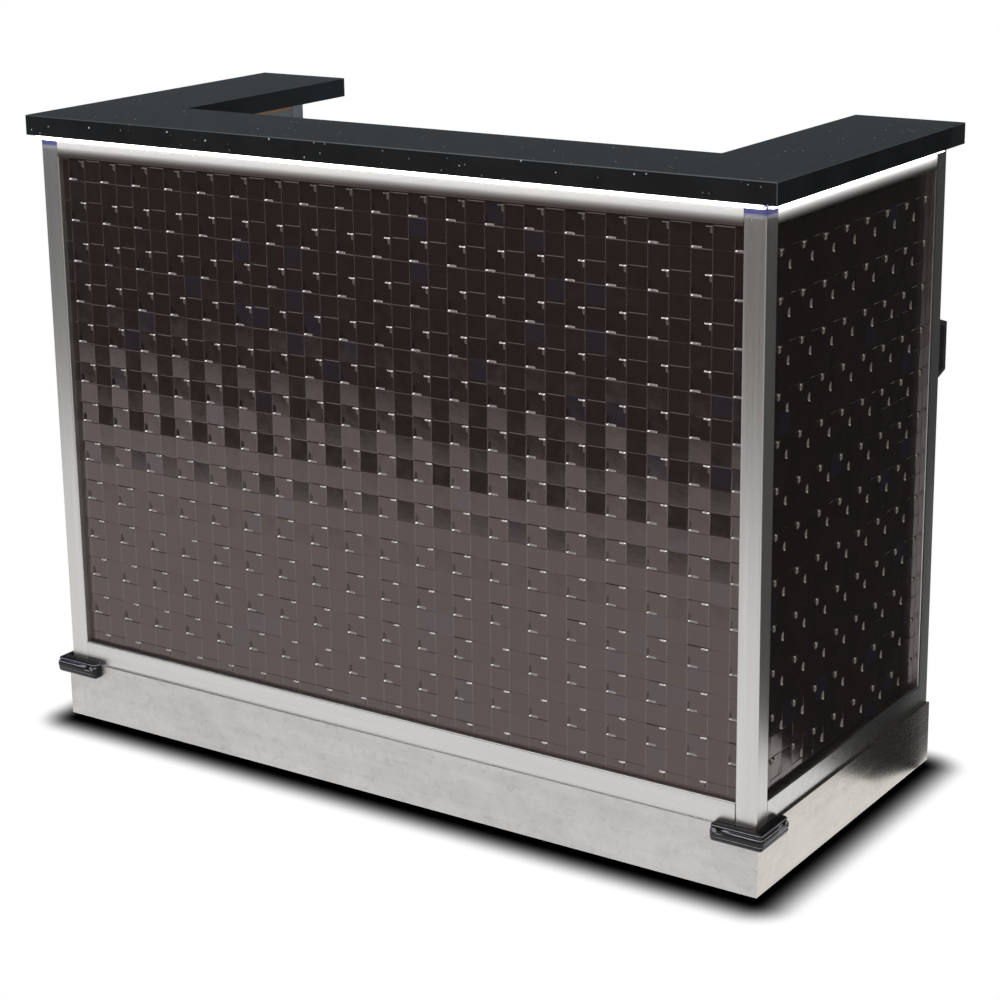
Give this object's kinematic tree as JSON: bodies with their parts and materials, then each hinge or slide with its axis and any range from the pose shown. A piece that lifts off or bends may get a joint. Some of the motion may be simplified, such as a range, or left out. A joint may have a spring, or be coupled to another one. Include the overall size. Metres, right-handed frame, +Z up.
{
  "type": "portable bar",
  "caption": "Free-standing U-shaped bar with a stone counter, embossed side panels, a lit edge, a work deck with an ice bin behind, and swivel casters behind a steel skirt.",
  "frame": {"origin": "on the floor, under the middle of the outer box", "axes": "+X to the right seen by the guests, +Y towards the staff, +Z up"},
  "size_m": [1.5318, 0.736, 1.1794],
  "materials": {
    "stone": "polished black stone with sparse bright flecks",
    "stainless": "brushed",
    "tile_panel": "embossed glossy tiles",
    "plywood": "bare birch plywood",
    "timber": "bare softwood",
    "rubber": "moulded, ribbed",
    "black_plastic": "moulded",
    "screw_steel": "plated",
    "aluminium": "extruded",
    "diffuser": "milky, lit",
    "driver_paint": "smooth",
    "foam": "closed-cell board",
    "zinc": "zinc plated",
    "hub_plastic": "moulded",
    "tyre": "smooth tread",
    "brass": "cast",
    "lever_paint": "dipped"
  },
  "bodies": {
    "cabinet": {"base_deck": "plywood", "bottle_rail": "stainless", "bottom_rails": "stainless", "bumper_left": "rubber", "bumper_right": "rubber", "caster_plates": "zinc", "countertop": "stone", "cover_guides": "stainless", "drain_valve": "brass", "front_panel": "tile_panel", "handle_left": "black_plastic", "handle_right": "black_plastic", "ice_bin_foam": "foam", "ice_bin_liner": "stainless", "inner_posts": "stainless", "led_channels": "aluminium", "led_driver": "driver_paint", "led_lenses": "diffuser", "left_panel": "tile_panel", "liner_front": "stainless", "middle_shelf": "plywood", "panel_backers": "plywood", "post_front_left": "stainless", "post_front_right": "stainless", "post_rear_left": "stainless", "post_rear_right": "stainless", "power_inlet": "black_plastic", "right_panel": "tile_panel", "shelf_bearers": "stainless", "side_liners": "stainless", "side_top_rails": "stainless", "skirt_front": "stainless", "skirt_left": "stainless", "skirt_right": "stainless", "switch_housing": "black_plastic", "top_cleats": "timber", "top_core": "plywood", "top_rail_front": "stainless", "trim_screws": "screw_steel", "wall_end_strips": "stainless", "wall_studs": "timber", "work_deck": "stainless"},
    "switch_rocker": {"switch_rocker": "black_plastic"},
    "ice_bin_cover": {"ice_bin_cover": "stainless"},
    "drain_lever": {"drain_lever": "lever_paint"},
    "caster_front_left": {"caster_fork_front_left": "zinc"},
    "wheel_front_left": {"wheel_hub_front_left": "hub_plastic", "wheel_tyre_front_left": "tyre"},
    "caster_front_right": {"caster_fork_front_right": "zinc"},
    "wheel_front_right": {"wheel_hub_front_right": "hub_plastic", "wheel_tyre_front_right": "tyre"},
    "caster_rear_left": {"caster_fork_rear_left": "zinc"},
    "wheel_rear_left": {"wheel_hub_rear_left": "hub_plastic", "wheel_tyre_rear_left": "tyre"},
    "pedal_left": {"brake_pedal_left": "black_plastic"},
    "caster_rear_right": {"caster_fork_rear_right": "zinc"},
    "wheel_rear_right": {"wheel_hub_rear_right": "hub_plastic", "wheel_tyre_rear_right": "tyre"},
    "pedal_right": {"brake_pedal_right": "black_plastic"}
  },
  "joints": [
    {"name": "swivel_front_left", "type": "hinge", "parent": "cabinet", "child": "caster_front_left", "pos_m": [-0.645, -0.25, 0.098], "axis": [0, 0, 1], "continuous": true},
    {"name": "wheel_spin_front_left", "type": "hinge", "parent": "caster_front_left", "child": "wheel_front_left", "pos_m": [-0.645, -0.22, 0.0375], "axis": [1, 0, 0], "continuous": true},
    {"name": "swivel_front_right", "type": "hinge", "parent": "cabinet", "child": "caster_front_right", "pos_m": [0.645, -0.25, 0.098], "axis": [0, 0, 1], "continuous": true},
    {"name": "wheel_spin_front_right", "type": "hinge", "parent": "caster_front_right", "child": "wheel_front_right", "pos_m": [0.645, -0.22, 0.0375], "axis": [1, 0, 0], "continuous": true},
    {"name": "swivel_rear_left", "type": "hinge", "parent": "cabinet", "child": "caster_rear_left", "pos_m": [-0.645, 0.223, 0.098], "axis": [0, 0, 1], "continuous": true},
    {"name": "wheel_spin_rear_left", "type": "hinge", "parent": "caster_rear_left", "child": "wheel_rear_left", "pos_m": [-0.645, 0.253, 0.0375], "axis": [1, 0, 0], "continuous": true},
    {"name": "brake_left", "type": "hinge", "parent": "caster_rear_left", "child": "pedal_left", "pos_m": [-0.645, 0.257, 0.088], "axis": [1, 0, 0], "range_deg": [-11, 0]},
    {"name": "swivel_rear_right", "type": "hinge", "parent": "cabinet", "child": "caster_rear_right", "pos_m": [0.645, 0.223, 0.098], "axis": [0, 0, 1], "continuous": true},
    {"name": "wheel_spin_rear_right", "type": "hinge", "parent": "caster_rear_right", "child": "wheel_rear_right", "pos_m": [0.645, 0.253, 0.0375], "axis": [1, 0, 0], "continuous": true},
    {"name": "brake_right", "type": "hinge", "parent": "caster_rear_right", "child": "pedal_right", "pos_m": [0.645, 0.257, 0.088], "axis": [1, 0, 0], "range_deg": [-11, 0]},
    {"name": "cover_slide", "type": "slide", "parent": "cabinet", "child": "ice_bin_cover", "axis": [1, 0, 0], "range_m": [0, 0.4]},
    {"name": "drain_turn", "type": "hinge", "parent": "cabinet", "child": "drain_lever", "pos_m": [-0.26, -0.03, 0.585], "axis": [0, 1, 0], "range_deg": [0, 90]},
    {"name": "light_switch", "type": "hinge", "parent": "cabinet", "child": "switch_rocker", "pos_m": [0.634, 0.221, 0.97], "axis": [0, 1, 0], "range_deg": [-16, 0]}
  ]
}
